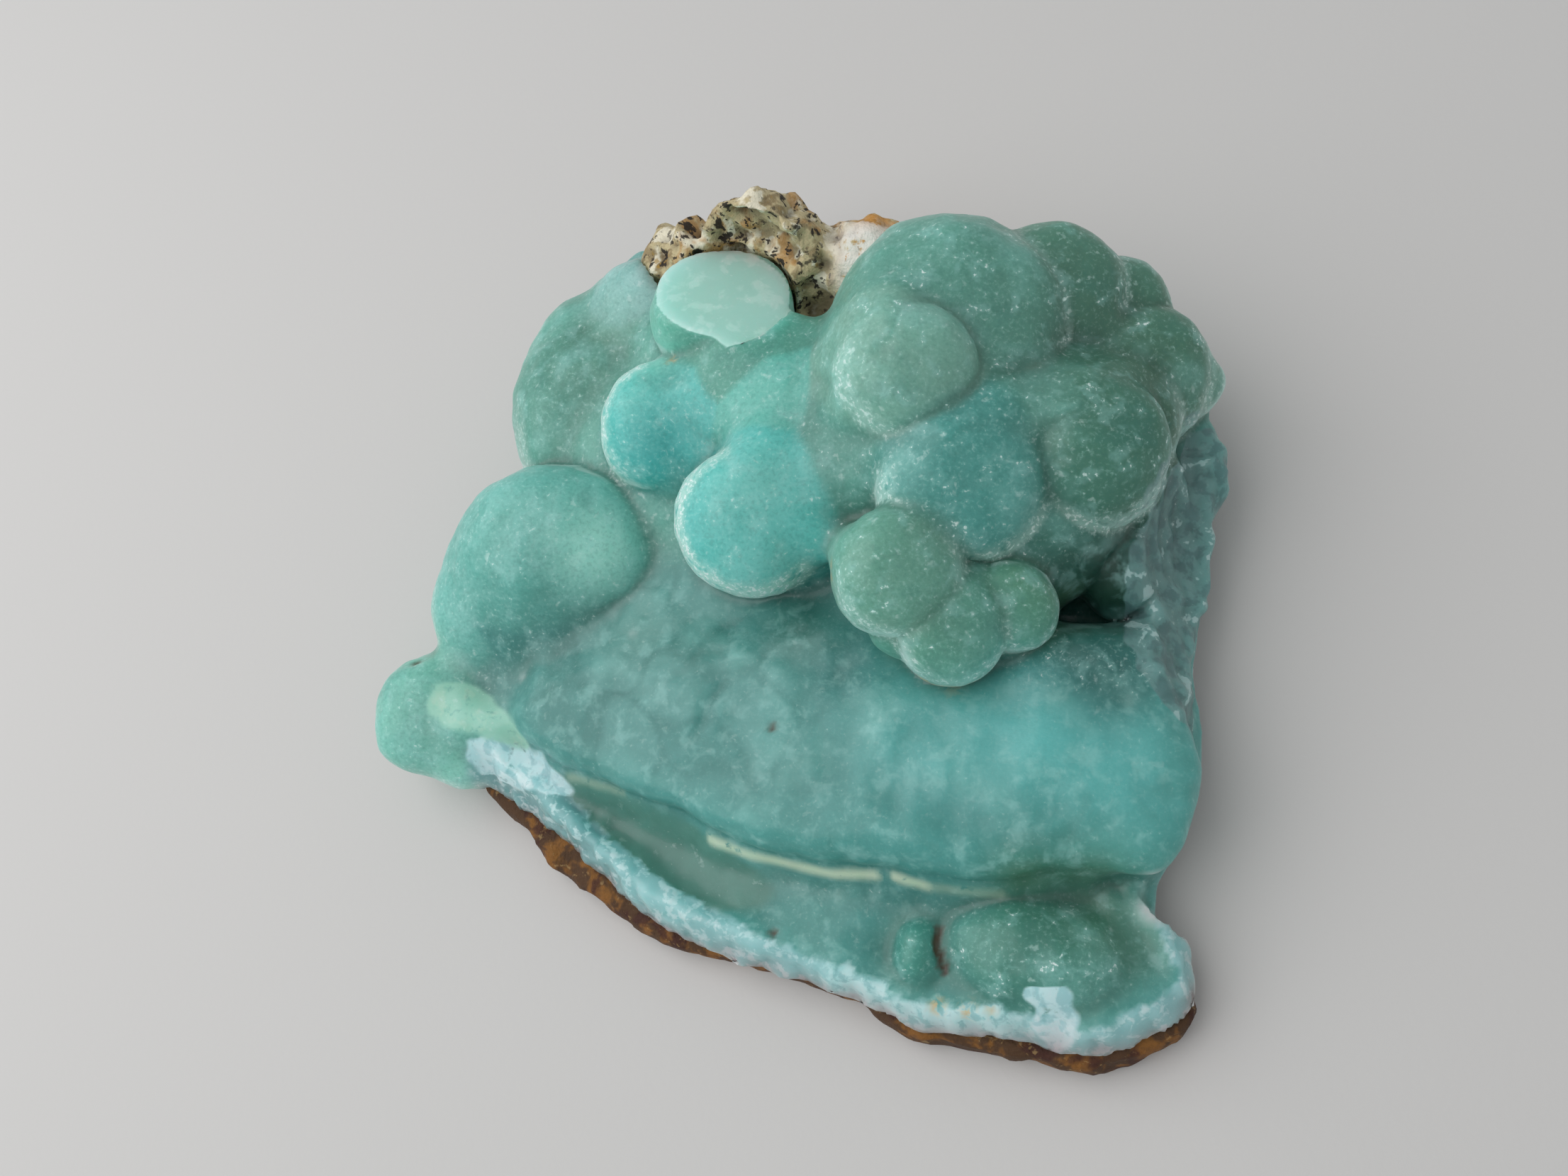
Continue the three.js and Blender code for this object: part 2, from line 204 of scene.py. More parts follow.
# the grids that the skins are drawn from: their corners in plan, and how low and high they reach
GRID_LOW, GRID_HIGH = (-27.5, -24.5), (28, 26)
CRUST_HEIGHTS, ROCK_HEIGHTS = (0, 21), (-1, 20)

LAMP_PLACE = (-0.15, -0.03, 0.21)     # metres, high on the left
LAMP_SIZE = 0.34                      # metres


# ---- colours ----
def linear_colour(text):
    """An sRGB hex colour such as #5FA8A3 as linear red, green, blue."""
    shares = np.array([int(text[i:i + 2], 16) for i in (1, 3, 5)]) / 255
    return tuple(np.where(shares <= 0.04045, shares / 12.92, ((shares + 0.055) / 1.055) ** 2.4))


def linear_rgba(text):
    return (*linear_colour(text), 1.0)


# ---- fields: each is below zero inside a form, above zero outside, and about its distance ----
def ease(values, low, high):
    """0 below low, 1 above high and a smooth S between them."""
    share = np.clip((values - low) / (high - low), 0, 1)
    return share * share * (3 - 2 * share)


def fade(values, low, high):
    """1 below low, 0 above high and a smooth S between them."""
    return 1 - ease(values, low, high)


def smooth_low(a, b, radius):
    """The lower of two fields, rounded by a parabola where they are within radius of each other."""
    share = np.clip(0.5 + 0.5 * (b - a) / radius, 0, 1)
    return b + (a - b) * share - radius * share * (1 - share)


def smooth_high(a, b, radius):
    return -smooth_low(-a, -b, radius)


def ellipsoid(x, y, z, form):
    """Distance to an ellipsoid: k0 (k0 - 1) / k1, where k0 is the length of the point over the
    half-widths and k1 its length over their squares."""
    cx, cy, cz, rx, ry, rz = form[:6]
    dx, dy, dz = x - cx, y - cy, z - cz
    k0 = np.sqrt((dx / rx) ** 2 + (dy / ry) ** 2 + (dz / rz) ** 2) + 1e-6
    k1 = np.sqrt((dx / rx**2) ** 2 + (dy / ry**2) ** 2 + (dz / rz**2) ** 2) + 1e-6
    return k0 * (k0 - 1) / k1


def dome(x, y, z, lobe, power=2.9):
    """Distance to a lobe: an ellipsoid with a flatter crown, on the side that all crowns look to,
    and fuller shoulders. Its k0 is (side^p + height^p)^(1/p), over the half-widths, with the height
    along the crown's direction and the side across it."""
    toward = [(value - at) / width for value, at, width in zip((x, y, z), lobe[:3], lobe[3:6])]
    height = sum(part * lean for part, lean in zip(toward, CROWN))
    length = np.sqrt(sum(part**2 for part in toward)) + 1e-6
    side = np.sqrt(np.maximum(length**2 - height**2, 0))
    k0 = (side**power + np.abs(height) ** power) ** (1 / power)
    k1 = np.sqrt(sum((part / width) ** 2 for part, width in zip(toward, lobe[3:6]))) + 1e-6
    return length * (k0 - 1) / k1


def outline_distance(x, y, outline, middle=OUTLINE_MIDDLE, steps=8):
    """Distance outside a closed Catmull-Rom spline through the outline's points, which is read as
    a radius round its middle: the radius past it times the cosine of its slope there."""
    p0 = np.array(outline, float) - middle
    before, after, beyond = (np.roll(p0, shift, 0) for shift in (1, -1, -2))
    t = np.linspace(0, 1, steps, endpoint=False)[:, None, None]
    curve = 0.5 * (2 * p0 + (after - before) * t + (2 * before - 5 * p0 + 4 * after - beyond) * t**2
                   + (3 * p0 - before - 3 * after + beyond) * t**3)
    curve = curve.transpose(1, 0, 2).reshape(-1, 2)
    angle = np.arctan2(curve[:, 1], curve[:, 0])
    order = np.argsort(angle)
    angle, radius = angle[order], np.hypot(*curve[order].T)
    slope = np.clip(np.gradient(radius) / np.gradient(np.unwrap(angle)) / radius, -1.2, 1.2)
    dx, dy = x - middle[0], y - middle[1]
    here = np.arctan2(dy, dx)
    period = 2 * np.pi
    reach = np.interp(here, angle, radius, period=period)
    lean = np.interp(here, angle, slope, period=period)
    return (np.hypot(dx, dy) - reach) / np.sqrt(1 + lean**2)


def swell_sum(x, y, swells):
    """Sum of round swells, each its height times exp(-(dx / sx)^2 - (dy / sy)^2)."""
    return sum(rise * np.exp(-(((x - cx) / sx) ** 2) - ((y - cy) / sy) ** 2)
               for cx, cy, sx, sy, rise in swells)


def slab_top(x, y):
    """Height of the slab: level in the middle, sinking to its front, left and right edges and
    climbing under the lobes to the back, with its swells added."""
    fall = 0.1 * np.maximum(-9 - y, 0) + 0.09 * np.maximum(-6 - x, 0)
    fall = fall + 0.25 * np.maximum(-13 - x, 0) + 0.055 * np.maximum(x - 10, 0)
    rise = 0.16 * np.clip(y - 2, 0, 12)
    corner_fall = 0.22 * np.maximum(x - 14, 0) * np.clip((y - 2) / 4, 0, 1)
    return 8 - fall + rise - corner_fall + swell_sum(x, y, SLAB_SWELLS)


def rim_side(x, y, z):
    """Distance outside the shelf's side, which leans in as it rises."""
    return outline_distance(x, y, SHELF_OUTLINE) + RIM_LEAN * np.maximum(z - ROCK_TOP, 0)


def shelf_field(x, y, z):
    """The shelf: inside its side, above its sole and below its top. The top is a trough behind a
    low crest along the rim, which is highest on the left and fades out to the right."""
    rise = 0.3 + 0.9 * fade(x, -2, 8) * ease(x, -19, -16)
    out = outline_distance(x, y, SHELF_OUTLINE)
    crest = rise * np.exp(-((np.minimum(out + 1.5, 0) / 1.3) ** 2))
    top = SHELF_HEIGHT + swell_sum(x, y, SHELF_SWELLS) + crest
    return smooth_high(smooth_high(rim_side(x, y, z), z - top, 0.3), CRUST_SOLE - z, 0.6)


def slab_field(x, y, z):
    """The slab: inside its outline, above its sole and under its top, round-edged. Along the front
    its side slopes out to the shelf below the edge, elsewhere it draws in."""
    front = fade(y, -11.5, -8) * fade(x, 18, 23)
    slope = 0.25 - 0.95 * front
    side = outline_distance(x, y, SLAB_OUTLINE) + slope * np.maximum(6 - z, 0)
    side = side / np.sqrt(1 + slope**2 * (z < 6))
    return smooth_high(smooth_high(side, z - slab_top(x, y), 1.6), CRUST_SOLE - z, 1.5)


def break_plane(x, y, z):
    """Distance above the plane of the broken lobe's face."""
    normal = np.array(BREAK_NORMAL) / np.linalg.norm(BREAK_NORMAL)
    return sum((value - at) * n for value, at, n in zip((x, y, z), BREAK_POINT, normal))


def broken_off(x, y, z):
    """What has broken off the broken lobe: above the plane of its face and within its reach."""
    return smooth_high(-break_plane(x, y, z), ellipsoid(x, y, z, BREAK_REACH), 0.1)


def rock_field(x, y, z):
    """The host rock: a plate inside its outline with a flat underside at height 0, joined to the
    lumps that rise behind the crust, with a socket for the broken lobe and for the break."""
    out = outline_distance(x, y, ROCK_OUTLINE)
    side = out + 0.25 * np.maximum(1 - z, 0) + 0.2 * np.maximum(z - 1.5, 0)
    field = smooth_high(side, z - ROCK_TOP, 0.6)
    for lump in ROCK_LUMPS.values():
        field = smooth_low(field, ellipsoid(x, y, z, lump), 0.8)
    lobe = smooth_low(ellipsoid(x, y, z, BROKEN_LOBE), dome(x, y, z, LOBES["broken_side"]), 0.5)
    field = smooth_high(field, 2 * SEAT_GAP - lobe, 0.2)
    field = smooth_high(field, -ellipsoid(x, y, z, BREAK_REACH), 0.3)
    return smooth_high(field, -z, 0.15)


def softness(x, y, name, lobe):
    """How far a place lies on a lobe's soft side, from 0 to 1, and the crease's rounding there."""
    if name not in SOFT_SIDES:
        return 0, lobe[6]
    bearing, rounding = SOFT_SIDES[name]
    side = np.cos(np.arctan2(y - lobe[1], x - lobe[0]) - np.radians(bearing))
    soft = ease(side, -0.3, 0.8)
    return soft, lobe[6] + soft * (rounding - lobe[6])


def crust_field(x, y, z):
    """The crust: shelf, slab and core lobes joined, less the shell-shaped break on the right, then
    every lobe joined with its own rounding, less what hangs too low and what the rock fills."""
    field = smooth_low(shelf_field(x, y, z), slab_field(x, y, z), 1.0)
    for lobe in BODY_LOBES.values():
        field = smooth_low(field, ellipsoid(x, y, z, lobe), lobe[6])
    field = smooth_high(field, -ellipsoid(x, y, z, RIGHT_SCOOP), 0.3)
    for name, lobe in LOBES.items():
        field = smooth_low(field, dome(x, y, z, lobe), softness(x, y, name, lobe)[1])
    field = smooth_low(field, ellipsoid(x, y, z, BROKEN_LOBE), BROKEN_LOBE[6])
    field = smooth_high(field, -broken_off(x, y, z), 0.15)
    field = smooth_high(field, CRUST_FOOT - z, 0.4)
    return np.maximum(field, SEAT_GAP - rock_field(x, y, z))


# ---- from a field to a mesh ----
def skin(field, low, step):
    """The closed skin of a field on a regular grid. Each cell that the surface passes has a vertex
    at the mean of the points where it crosses the cell's edges, and each crossed grid edge has a
    quad that joins the four cells round it, wound to face outwards. A height grid would not do,
    because the crust folds under its own lobes."""
    inside = field < 0
    cells = [size - 1 for size in field.shape]
    count = sum(inside[i:i + cells[0], j:j + cells[1], k:k + cells[2]].astype(np.int8)
                for i, j, k in product((0, 1), repeat=3))
    crossed = (count > 0) & (count < 8)
    corner = np.argwhere(crossed)
    number = np.full(crossed.shape, -1)
    number[crossed] = np.arange(len(corner))
    total, crossings = np.zeros((len(corner), 3)), np.zeros(len(corner))
    quads = []
    for axis in range(3):
        across, up = (axis + 1) % 3, (axis + 2) % 3
        unit = np.eye(3, dtype=int)
        for i, j in product((0, 1), repeat=2):
            offset = i * unit[across] + j * unit[up]
            start = corner + offset
            a, b = field[tuple(start.T)], field[tuple((start + unit[axis]).T)]
            cut = (a < 0) != (b < 0)
            total[cut] += offset + unit[axis] * (a[cut] / (a[cut] - b[cut]))[:, None]
            crossings[cut] += 1
        ends = [inside.take(range(first, inside.shape[axis] - 1 + first), axis) for first in (0, 1)]
        edge = np.argwhere(ends[0] != ends[1])
        fits = (edge[:, across] > 0) & (edge[:, up] > 0)
        fits &= (edge[:, across] < cells[across]) & (edge[:, up] < cells[up])
        edge = edge[fits]
        ring = [unit[across] + unit[up], unit[up], 0 * unit[axis], unit[across]]
        quad = np.stack([number[tuple((edge - back).T)] for back in ring], 1)
        flip = ~ends[0][tuple(edge.T)]
        quad[flip] = quad[flip, ::-1]
        quads.append(quad)
    return (corner + total / crossings[:, None]) * step + low, np.concatenate(quads)


def skin_of(field_function, heights, step):
    """The skin of a field function between two heights, its vertices then drawn twice onto the
    surface."""
    low, high = (*GRID_LOW, heights[0]), (*GRID_HIGH, heights[1])
    axes = [np.arange(a, b, step, dtype=np.float32) for a, b in zip(low, high)]
    x, y, z = axes[0][:, None, None], axes[1][None, :, None], axes[2][None, None, :]
    points, quads = skin(field_function(x, y, z), np.array(low), step)
    for _ in range(2):
        miss = np.clip(field_function(*points.T), -0.3 * step, 0.3 * step)
        points = points - miss[:, None] * normals_of(points, quads)
    return points, quads


def normals_of(points, quads):
    """Unit normals at the vertices, the sum of the cross products of the quads' diagonals."""
    across = np.cross(points[quads[:, 2]] - points[quads[:, 0]],
                      points[quads[:, 3]] - points[quads[:, 1]])
    total = np.stack([np.bincount(quads.ravel(), np.repeat(across[:, k], 4), len(points))
                      for k in range(3)], 1)
    return total / (np.linalg.norm(total, axis=1, keepdims=True) + 1e-12)


def neighbour_mean(values, quads, rounds=1):
    """Each vertex's value replaced by the mean over its quads' corners, a few times over."""
    touched = np.bincount(quads.ravel(), minlength=len(values))
    for _ in range(rounds):
        per_quad = values[quads].mean(1)
        values = np.bincount(quads.ravel(), np.repeat(per_quad, 4), len(values)) / touched
    return values


def hollow(points, normals, quads, rounds, depth):
    """How far each vertex lies in a crease, from 0 to 1: the height of its smoothed surroundings
    above it along its normal, over a depth. Ridges come out below 0."""
    around = np.stack([neighbour_mean(points[:, k], quads, rounds) for k in range(3)], 1)
    return np.clip(((around - points) * normals).sum(1) / depth, -1, 1)


def unevenness(points, size, seed, count=20):
    """Soft random relief of about the given size: the scaled sum of sine waves whose directions
    and phases are drawn at random from the seed. Its spread is about 1."""
    random = np.random.default_rng(SEED + seed)
    direction = random.normal(size=(3, count))
    direction /= np.linalg.norm(direction, axis=0)
    length = size * random.uniform(0.7, 1.5, count)
    phase = random.uniform(0, 2 * np.pi, count)
    waves = np.sin(points @ (direction * 2 * np.pi / length) + phase)
    return waves.sum(1) / np.sqrt(count / 2)


def cells_relief(points, size, seed, low, high):
    """Low cobbles round random points about one size apart in plan. The height is the distance to
    the second nearest point less that to the nearest, over the size. Each cobble also has a tone
    of its own from 0 to 1."""
    random = np.random.default_rng(SEED + seed)
    wander = np.stack([unevenness(points, 4, seed + 50), unevenness(points, 4, seed + 51)], 1)
    plan = points[:, :2] + 0.4 * wander
    spans = np.array(high) - low
    seeds = low + spans * random.random((int(spans[0] * spans[1] / size**2), 2))
    nearest = np.full(len(points), np.inf)
    second, tone = nearest.copy(), np.zeros(len(points))
    for place, own_tone in zip(seeds, random.random(len(seeds))):
        distance = np.hypot(*(plan - place).T)
        second = np.minimum(second, np.maximum(nearest, distance))
        tone = np.where(distance < nearest, own_tone, tone)
        nearest = np.minimum(nearest, distance)
    return np.clip((second - nearest) / size, 0, 1), tone


def line_distance(points, line):
    """Distance from each point to a broken line."""
    line = np.array(line, float)
    nearest = np.full(len(points), np.inf)
    for start, end in zip(line[:-1], line[1:]):
        along = end - start
        share = np.clip((points - start) @ along / (along @ along), 0, 1)
        gap = np.linalg.norm(points - start - share[:, None] * along, axis=1)
        nearest = np.minimum(nearest, gap)
    return nearest


def patch(points, outline, soft=1.0, low=-10, high=30):
    """1 inside a closed outline in plan and between two heights, 0 outside, falling evenly through
    one half at its edge over twice the softness."""
    middle = np.mean(outline, 0)
    out = outline_distance(*points[:, :2].T, outline, middle)
    out = out + 0.08 * unevenness(points, 1.2, 40)
    inside = np.clip(0.5 - out / (2 * soft), 0, 1)
    return inside * ease(points[:, 2], low - 0.3, low) * fade(points[:, 2], high, high + 0.3)


# ---- marks on the crust, in layout millimetres ----
CREAM_LINES = [
    [(-0.4, -14.5), (2.2, -15), (5, -15.2), (7.2, -15.2), (9.6, -14.9)],
    [(10.6, -14.8), (12.4, -15)],
]
FAINT_CREAM_LINES = [
    [(-10.2, -12.4), (-8.2, -12.6), (-6.3, -12.8)],
    [(12.8, -15), (16.4, -14.7)],
]
SLAB_CRACK = [(-1.1, -4.2, 8.5), (-2.4, -4.6, 8.6), (-3.4, -5.9, 8.5), (-4.6, -6.6, 8.4),
              (-5.6, -7.5, 8.2)]
SLAB_SEAM = [(-0.6, -6.2, 8.2), (-1.4, -7.4, 8.2), (-1.2, -8.6, 8.1), (-2, -9.8, 8)]
SHELF_CRACK = [(13.2, -16.9), (13.3, -17.8), (13.9, -19.1)]
KNUCKLE_RIDGES = [
    [(8, -0.4, 15.3), (8.1, -1.4, 15), (8.7, -2.3, 14.5), (9.6, -2.8, 14)],
    [(9.1, -1, 15.2), (9.9, -1.2, 15.1), (10.4, -0.6, 15)],
]
BROWN_SPOTS = [
    (-22.2, -7.1, 6.9, 0.25), (12.8, 18.6, 14.6, 0.35), (16.5, 14.8, 13.6, 0.3),
    (21, 15.7, 11.2, 0.35), (24.6, 11.9, 8, 0.35), (2.9, -8.3, 8.2, 0.2),
    (4.2, -18.9, 4.4, 0.18), (-9.1, 20.7, 12.4, 0.3), (17.2, 12.6, 13.6, 0.25),
]
OCHRE_SPOTS = [
    (6.2, -0.6, 13.3, 0.5), (12.6, -4.8, 9.4, 0.6), (11.4, -4.7, 9.4, 0.5), (13.8, -4.5, 9.5, 0.5),
    (10.9, -4.3, 9.6, 0.22), (12.2, -4.4, 10.4, 0.2), (13.8, -20.9, 4, 0.3),
    (15.4, -20.7, 4, 0.3), (16.6, -20.4, 4, 0.25), (-6.4, 11.6, 13.7, 0.3),
]
PIT = (19.4, 2.4, 7.5)    # the middle of the dark pit on the right
WHITE_CRYSTALS = [(-7.3, -3.7, 8.6, 0.35), (-14.6, -7.1, 7.4, 0.3), (24.1, -13.7, 4.6, 0.7),
                  (24.1, -13.2, 5.6, 0.6)]
MINT_PATCH = [(-20.1, -8.4), (-17.8, -8), (-15.4, -9.2), (-13.8, -10.2), (-13.4, -11.2),
              (-16, -11), (-19.6, -10.5)]
FRACTURE_PATCH = [(-17.4, -11.4), (-14, -10.9), (-10.6, -12.5), (-10.2, -13.4), (-13, -13.4),
                  (-16.6, -13.2)]
SHELF_PATCH = [(18.4, -18.9), (20, -18.6), (20.9, -19.8), (20.8, -21.2), (19.6, -21.7),
               (18.7, -20.4)]
EDGE_BAND = [(23.4, 12.5), (22.8, 9.6), (22.1, 7), (21, 4.4), (20.9, 0.6), (22, -2.2),
             (24.4, -4.6), (27, -4), (28, 4), (27, 13)]
TROUGH_PATCH = [(-14.5, -12), (-9, -12.4), (-4, -13.4), (0.5, -14.8), (3.6, -16.6), (2, -18.2),
                (-2.4, -17.6), (-7, -15.8), (-12, -13.6)]

# tints laid over the growths' own colours, among them painted shade and painted light as marked:
# middle x, y, z, reach, colour, strength
TINTS = [
    (17.2, -6.2, 8.5, 4.6, "#6CC4C0", 0.8),
    (11.2, -8.6, 8, 3.4, "#66BAB6", 0.55),
    (2, -9.4, 8, 3.6, "#5E9E97", 0.5),
    (-3, -8, 8, 4.2, "#4F908A", 0.6),
    (21.8, -8, 8, 3.4, "#6BC2BE", 0.6),
    (-9.5, -6.5, 7.5, 5.4, "#47837D", 0.8),
    (-14, -6.5, 6.5, 3, "#4A8880", 0.5),
    # painted shade on the slab beneath the lobes
    (3.3, -2.2, 8, 2.6, "#2F6B60", 0.85),
    (-2.6, -3.6, 8, 2.4, "#3F7F76", 0.7),
    (-6.8, -3.6, 8, 2.4, "#4A877C", 0.6),
    (6.4, -4.6, 8, 2.2, "#3D7F7C", 0.6),
    (17.7, -11.9, 7, 3, "#459A95", 0.7),
    # painted shade on the cluster's back right, away from the light
    (19.5, 14.5, 11, 6.5, "#46705A", 0.75),
    (15.5, 17.5, 13, 5, "#4E7A68", 0.6),
    # painted shade in the deep pit on the right
    (20.2, 3.2, 7.5, 3.6, "#123D33", 0.92),
    (18, 1.6, 7, 2.6, "#0F352C", 0.9),
    (16.8, 3.6, 9, 2.2, "#24594B", 0.8),
    (20.9, -14.3, 5.5, 2.6, "#54774C", 0.8),
    (17.6, -13.9, 6, 1.8, "#4C7048", 0.8),
    (23.6, -16, 5, 1.6, "#5C8060", 0.6),
    (18.6, -17.2, 5.5, 4, "#3E7C6D", 0.75),
    (-11, 19.5, 11, 3, "#A6CFCB", 0.6),
    (-15, 13, 10, 4.5, "#568F7F", 0.6),
    (12.2, -18, 4.6, 1.7, "#448A7E", 0.7),
    (16.6, -0.6, 8.4, 1.3, "#658A5A", 0.85),
    (18.8, 0.2, 8.6, 1.3, "#5C7850", 0.85),
    (21.2, 0.4, 8.4, 1.3, "#4E6A4C", 0.8),
    (19.5, -1.6, 8.6, 1.9, "#3F7A70", 0.7),
    (1.6, 3.4, 14.8, 2.5, "#8AD0C8", 0.75),
    (-2.4, 1.8, 12.6, 2.2, "#3E9C9E", 0.6),
    # painted light: the turquoise lobe's shaded low side paled
    (0.8, 0.2, 12, 2.0, "#93D6CE", 0.75),
    (-7.3, 11.8, 13, 2.4, "#92DACA", 0.85),
    # painted light: big_left's right shoulder paled, on its side away from the light
    (-9.6, 0.6, 10.4, 3, "#A6E0D2", 0.8),
    # painted shade on the slab's right edge, beside the fingers
    (20.6, -2.4, 8.4, 2.8, "#235F5A", 0.8),
    (6, -17.5, 5, 4, "#4F958C", 0.5),
    (-6.6, 6.2, 12.6, 3, "#38A3A3", 0.6),
    (-13.2, 15.4, 9, 3, "#5F8F78", 0.6),
    (-21.8, -5.6, 5.4, 2.6, "#79BFA8", 0.6),
    (4.7, 18.8, 13.5, 2.2, "#7CB8B0", 0.5),
]

# how frosty the lobes' shoulders are, frost and painted rim light together: first and last bearing
# in degrees and strength
FROST_AND_RIM_LIGHT_ARCS = {"left_upper": (100, 250, 0.9), "turquoise": (100, 335, 1.0),
              "big_left": (210, 380, 0.7), "button": (110, 330, 0.5), "lower": (200, 340, 0.7),
              "right": (220, 350, 0.6), "flank": (130, 240, 0.3), "left_tip": (200, 330, 0.1),
              "broken_foot": (200, 340, 0.4), "crown": (250, 400, 0.6)}
FRONT_FROST_AND_RIM_LIGHT = (210, 380, 0.45)


def spot_mask(points, spots):
    """1 in the middle of each round spot, falling to 0 at its edge."""
    mask = np.zeros(len(points))
    for *middle, radius in spots:
        gap = np.linalg.norm(points - middle, axis=1)
        mask = np.maximum(mask, fade(gap, *np.multiply(SPOT_FADE, radius)))
    return mask


def frost_and_rim_light_mask(points):
    """Bands on the shoulders of the lobes, where a point seen from a lobe's middle stands about
    50 to 80 degrees from the lobe's crown, on the lobe's frosty bearings. They carry white frost
    and the painted rim light of the lobes' thin edges."""
    mask = np.zeros(len(points))
    for name, lobe in LOBES.items():
        first, last, strength = FROST_AND_RIM_LIGHT_ARCS.get(name, FRONT_FROST_AND_RIM_LIGHT)
        toward = (points - lobe[:3]) / lobe[3:6]
        near = fade(np.abs(dome(*points.T, lobe)), 0.1, 0.3)
        toward /= np.linalg.norm(toward, axis=1, keepdims=True)
        tilt = np.degrees(np.arccos(np.clip(toward @ CROWN, -1, 1)))
        bearing = np.degrees(np.arctan2(toward[:, 1], toward[:, 0])) - (first + last) / 2
        band = ease(tilt, *FROST_AND_RIM_LIGHT_TILTS[0]) * fade(tilt, *FROST_AND_RIM_LIGHT_TILTS[1])
        aside = np.abs((bearing + 180) % 360 - 180) - (last - first) / 2
        mask = np.maximum(mask, strength * near * band * fade(aside, -20, 20))
    return mask


def growths(points):
    """Every growth that a crust point can belong to: the distance to it, its colour, how far the
    point lies up from its shoulder to its crown and how far on its soft side."""
    x, y, z = points.T
    yield shelf_field(x, y, z), SLAB_TEAL, 1, 1
    yield slab_field(x, y, z), SLAB_TEAL, 1, 1
    for lobe in BODY_LOBES.values():
        yield ellipsoid(x, y, z, lobe), lobe[7], 1, 1
    for name, lobe in (*LOBES.items(), ("broken_lobe", BROKEN_LOBE)):
        toward = (points - lobe[:3]) / lobe[3:6]
        height = toward @ CROWN / np.linalg.norm(toward, axis=1)
        yield dome(x, y, z, lobe), lobe[7], height, softness(x, y, name, lobe)[0]


def growth_colours(points):
    """Each vertex's colour and how near it is to a crisp edge of its growth, from 0 to 1. The
    colour is the mean of the growths' colours, weighted by how near each growth's surface is, less
    crisply on a soft side, with the tints over it, among them painted shade and painted light. A
    lobe pales from its crown to its shoulders, a painted sheen."""
    pale = np.array(linear_colour(SHOULDER_SHEEN))
    total, colour = np.zeros(len(points)), np.zeros((len(points), 3))
    nearest, second = np.full(len(points), np.inf), np.full(len(points), np.inf)
    soft_here = np.zeros(len(points))
    for distance, text, height, soft in growths(points):
        weight = np.exp(-((np.maximum(distance, 0) / (0.25 + 0.35 * soft)) ** 2)) + 1e-9
        # painted sheen: a lobe's colour pales towards its shoulders
        share = 0.3 * fade(height, 0, 0.6) * (1 - soft) * fade(distance, 0.05, 0.3)
        own = np.array(linear_colour(text))
        total += weight
        colour += weight[:, None] * (own + share[:, None] * (pale - own))
        second = np.minimum(second, np.maximum(nearest, distance))
        soft_here = np.where(distance < nearest, soft, soft_here)
        nearest = np.minimum(nearest, distance)
    colour /= total[:, None]
    for *middle, reach, text, strength in TINTS:
        gap = np.linalg.norm(points - middle, axis=1)
        share = strength * np.exp(-((gap / reach) ** 2))[:, None]
        colour = colour + share * (np.array(linear_colour(text)) - colour)
    near_edge = fade(second - nearest, 0.6, 1.8) * fade(nearest, 0.05, 0.25)
    return colour, near_edge * (1 - soft_here)


def near_lines(points, lines, inner=0, outer=0.38):
    """1 along some lines, falling to 0 between two distances from them."""
    return np.maximum.reduce([fade(line_distance(points, line), inner, outer)
                              for line in lines])


